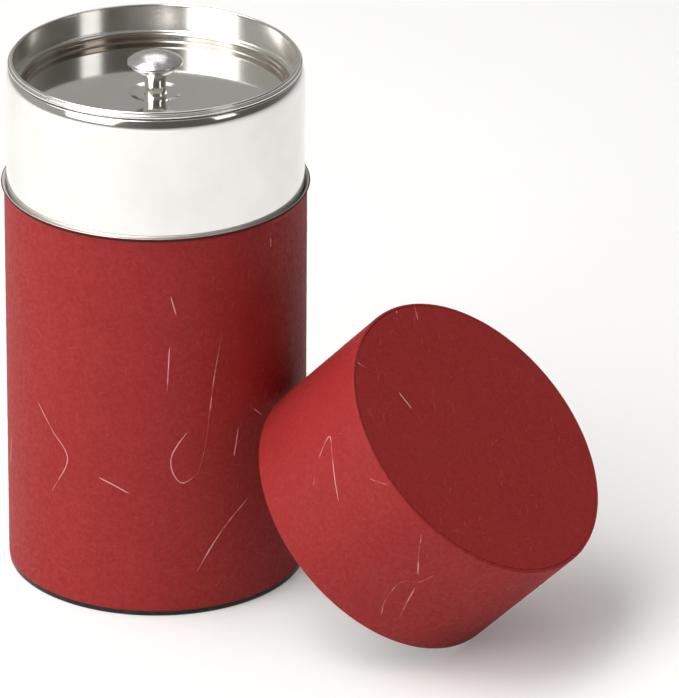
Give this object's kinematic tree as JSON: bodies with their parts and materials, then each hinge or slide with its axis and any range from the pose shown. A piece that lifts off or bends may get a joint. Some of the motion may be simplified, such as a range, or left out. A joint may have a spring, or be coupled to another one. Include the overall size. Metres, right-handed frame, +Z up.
{
  "type": "tea caddy",
  "caption": "Round tin tea caddy covered in red washi paper, with a bare metal collar, a pressed inner lid with a turned knob, and a paper-covered cap leaning against its side.",
  "frame": {"origin": "centre of the caddy's foot, on the surface it stands on", "axes": "+Z up along the caddy's axis, +X towards the cap that leans on its side"},
  "size_m": [0.1572, 0.0762, 0.1361],
  "materials": {
    "washi": "matte",
    "tinplate": "satin",
    "knob_alloy": "satin",
    "base_lacquer": "satin"
  },
  "bodies": {
    "caddy": {"body_tube": "tinplate", "body_paper": "washi", "base_plate": "base_lacquer", "inner_sleeve": "tinplate"},
    "inner_lid": {"lid_pan": "tinplate", "lid_knob": "knob_alloy", "knob_washer": "tinplate"},
    "cap": {"cap_tube": "tinplate", "cap_plate": "tinplate", "cap_side_paper": "washi", "cap_top_paper": "washi"}
  },
  "joints": [
    {"name": "lid_lift", "type": "slide", "parent": "caddy", "child": "inner_lid", "axis": [0, 0, 1], "range_m": [0, 0.06]},
    {"name": "cap_lift", "type": "slide", "parent": "caddy", "child": "cap", "axis": [0.6921, 0, 0.7218], "range_m": [0, 0.12]}
  ]
}
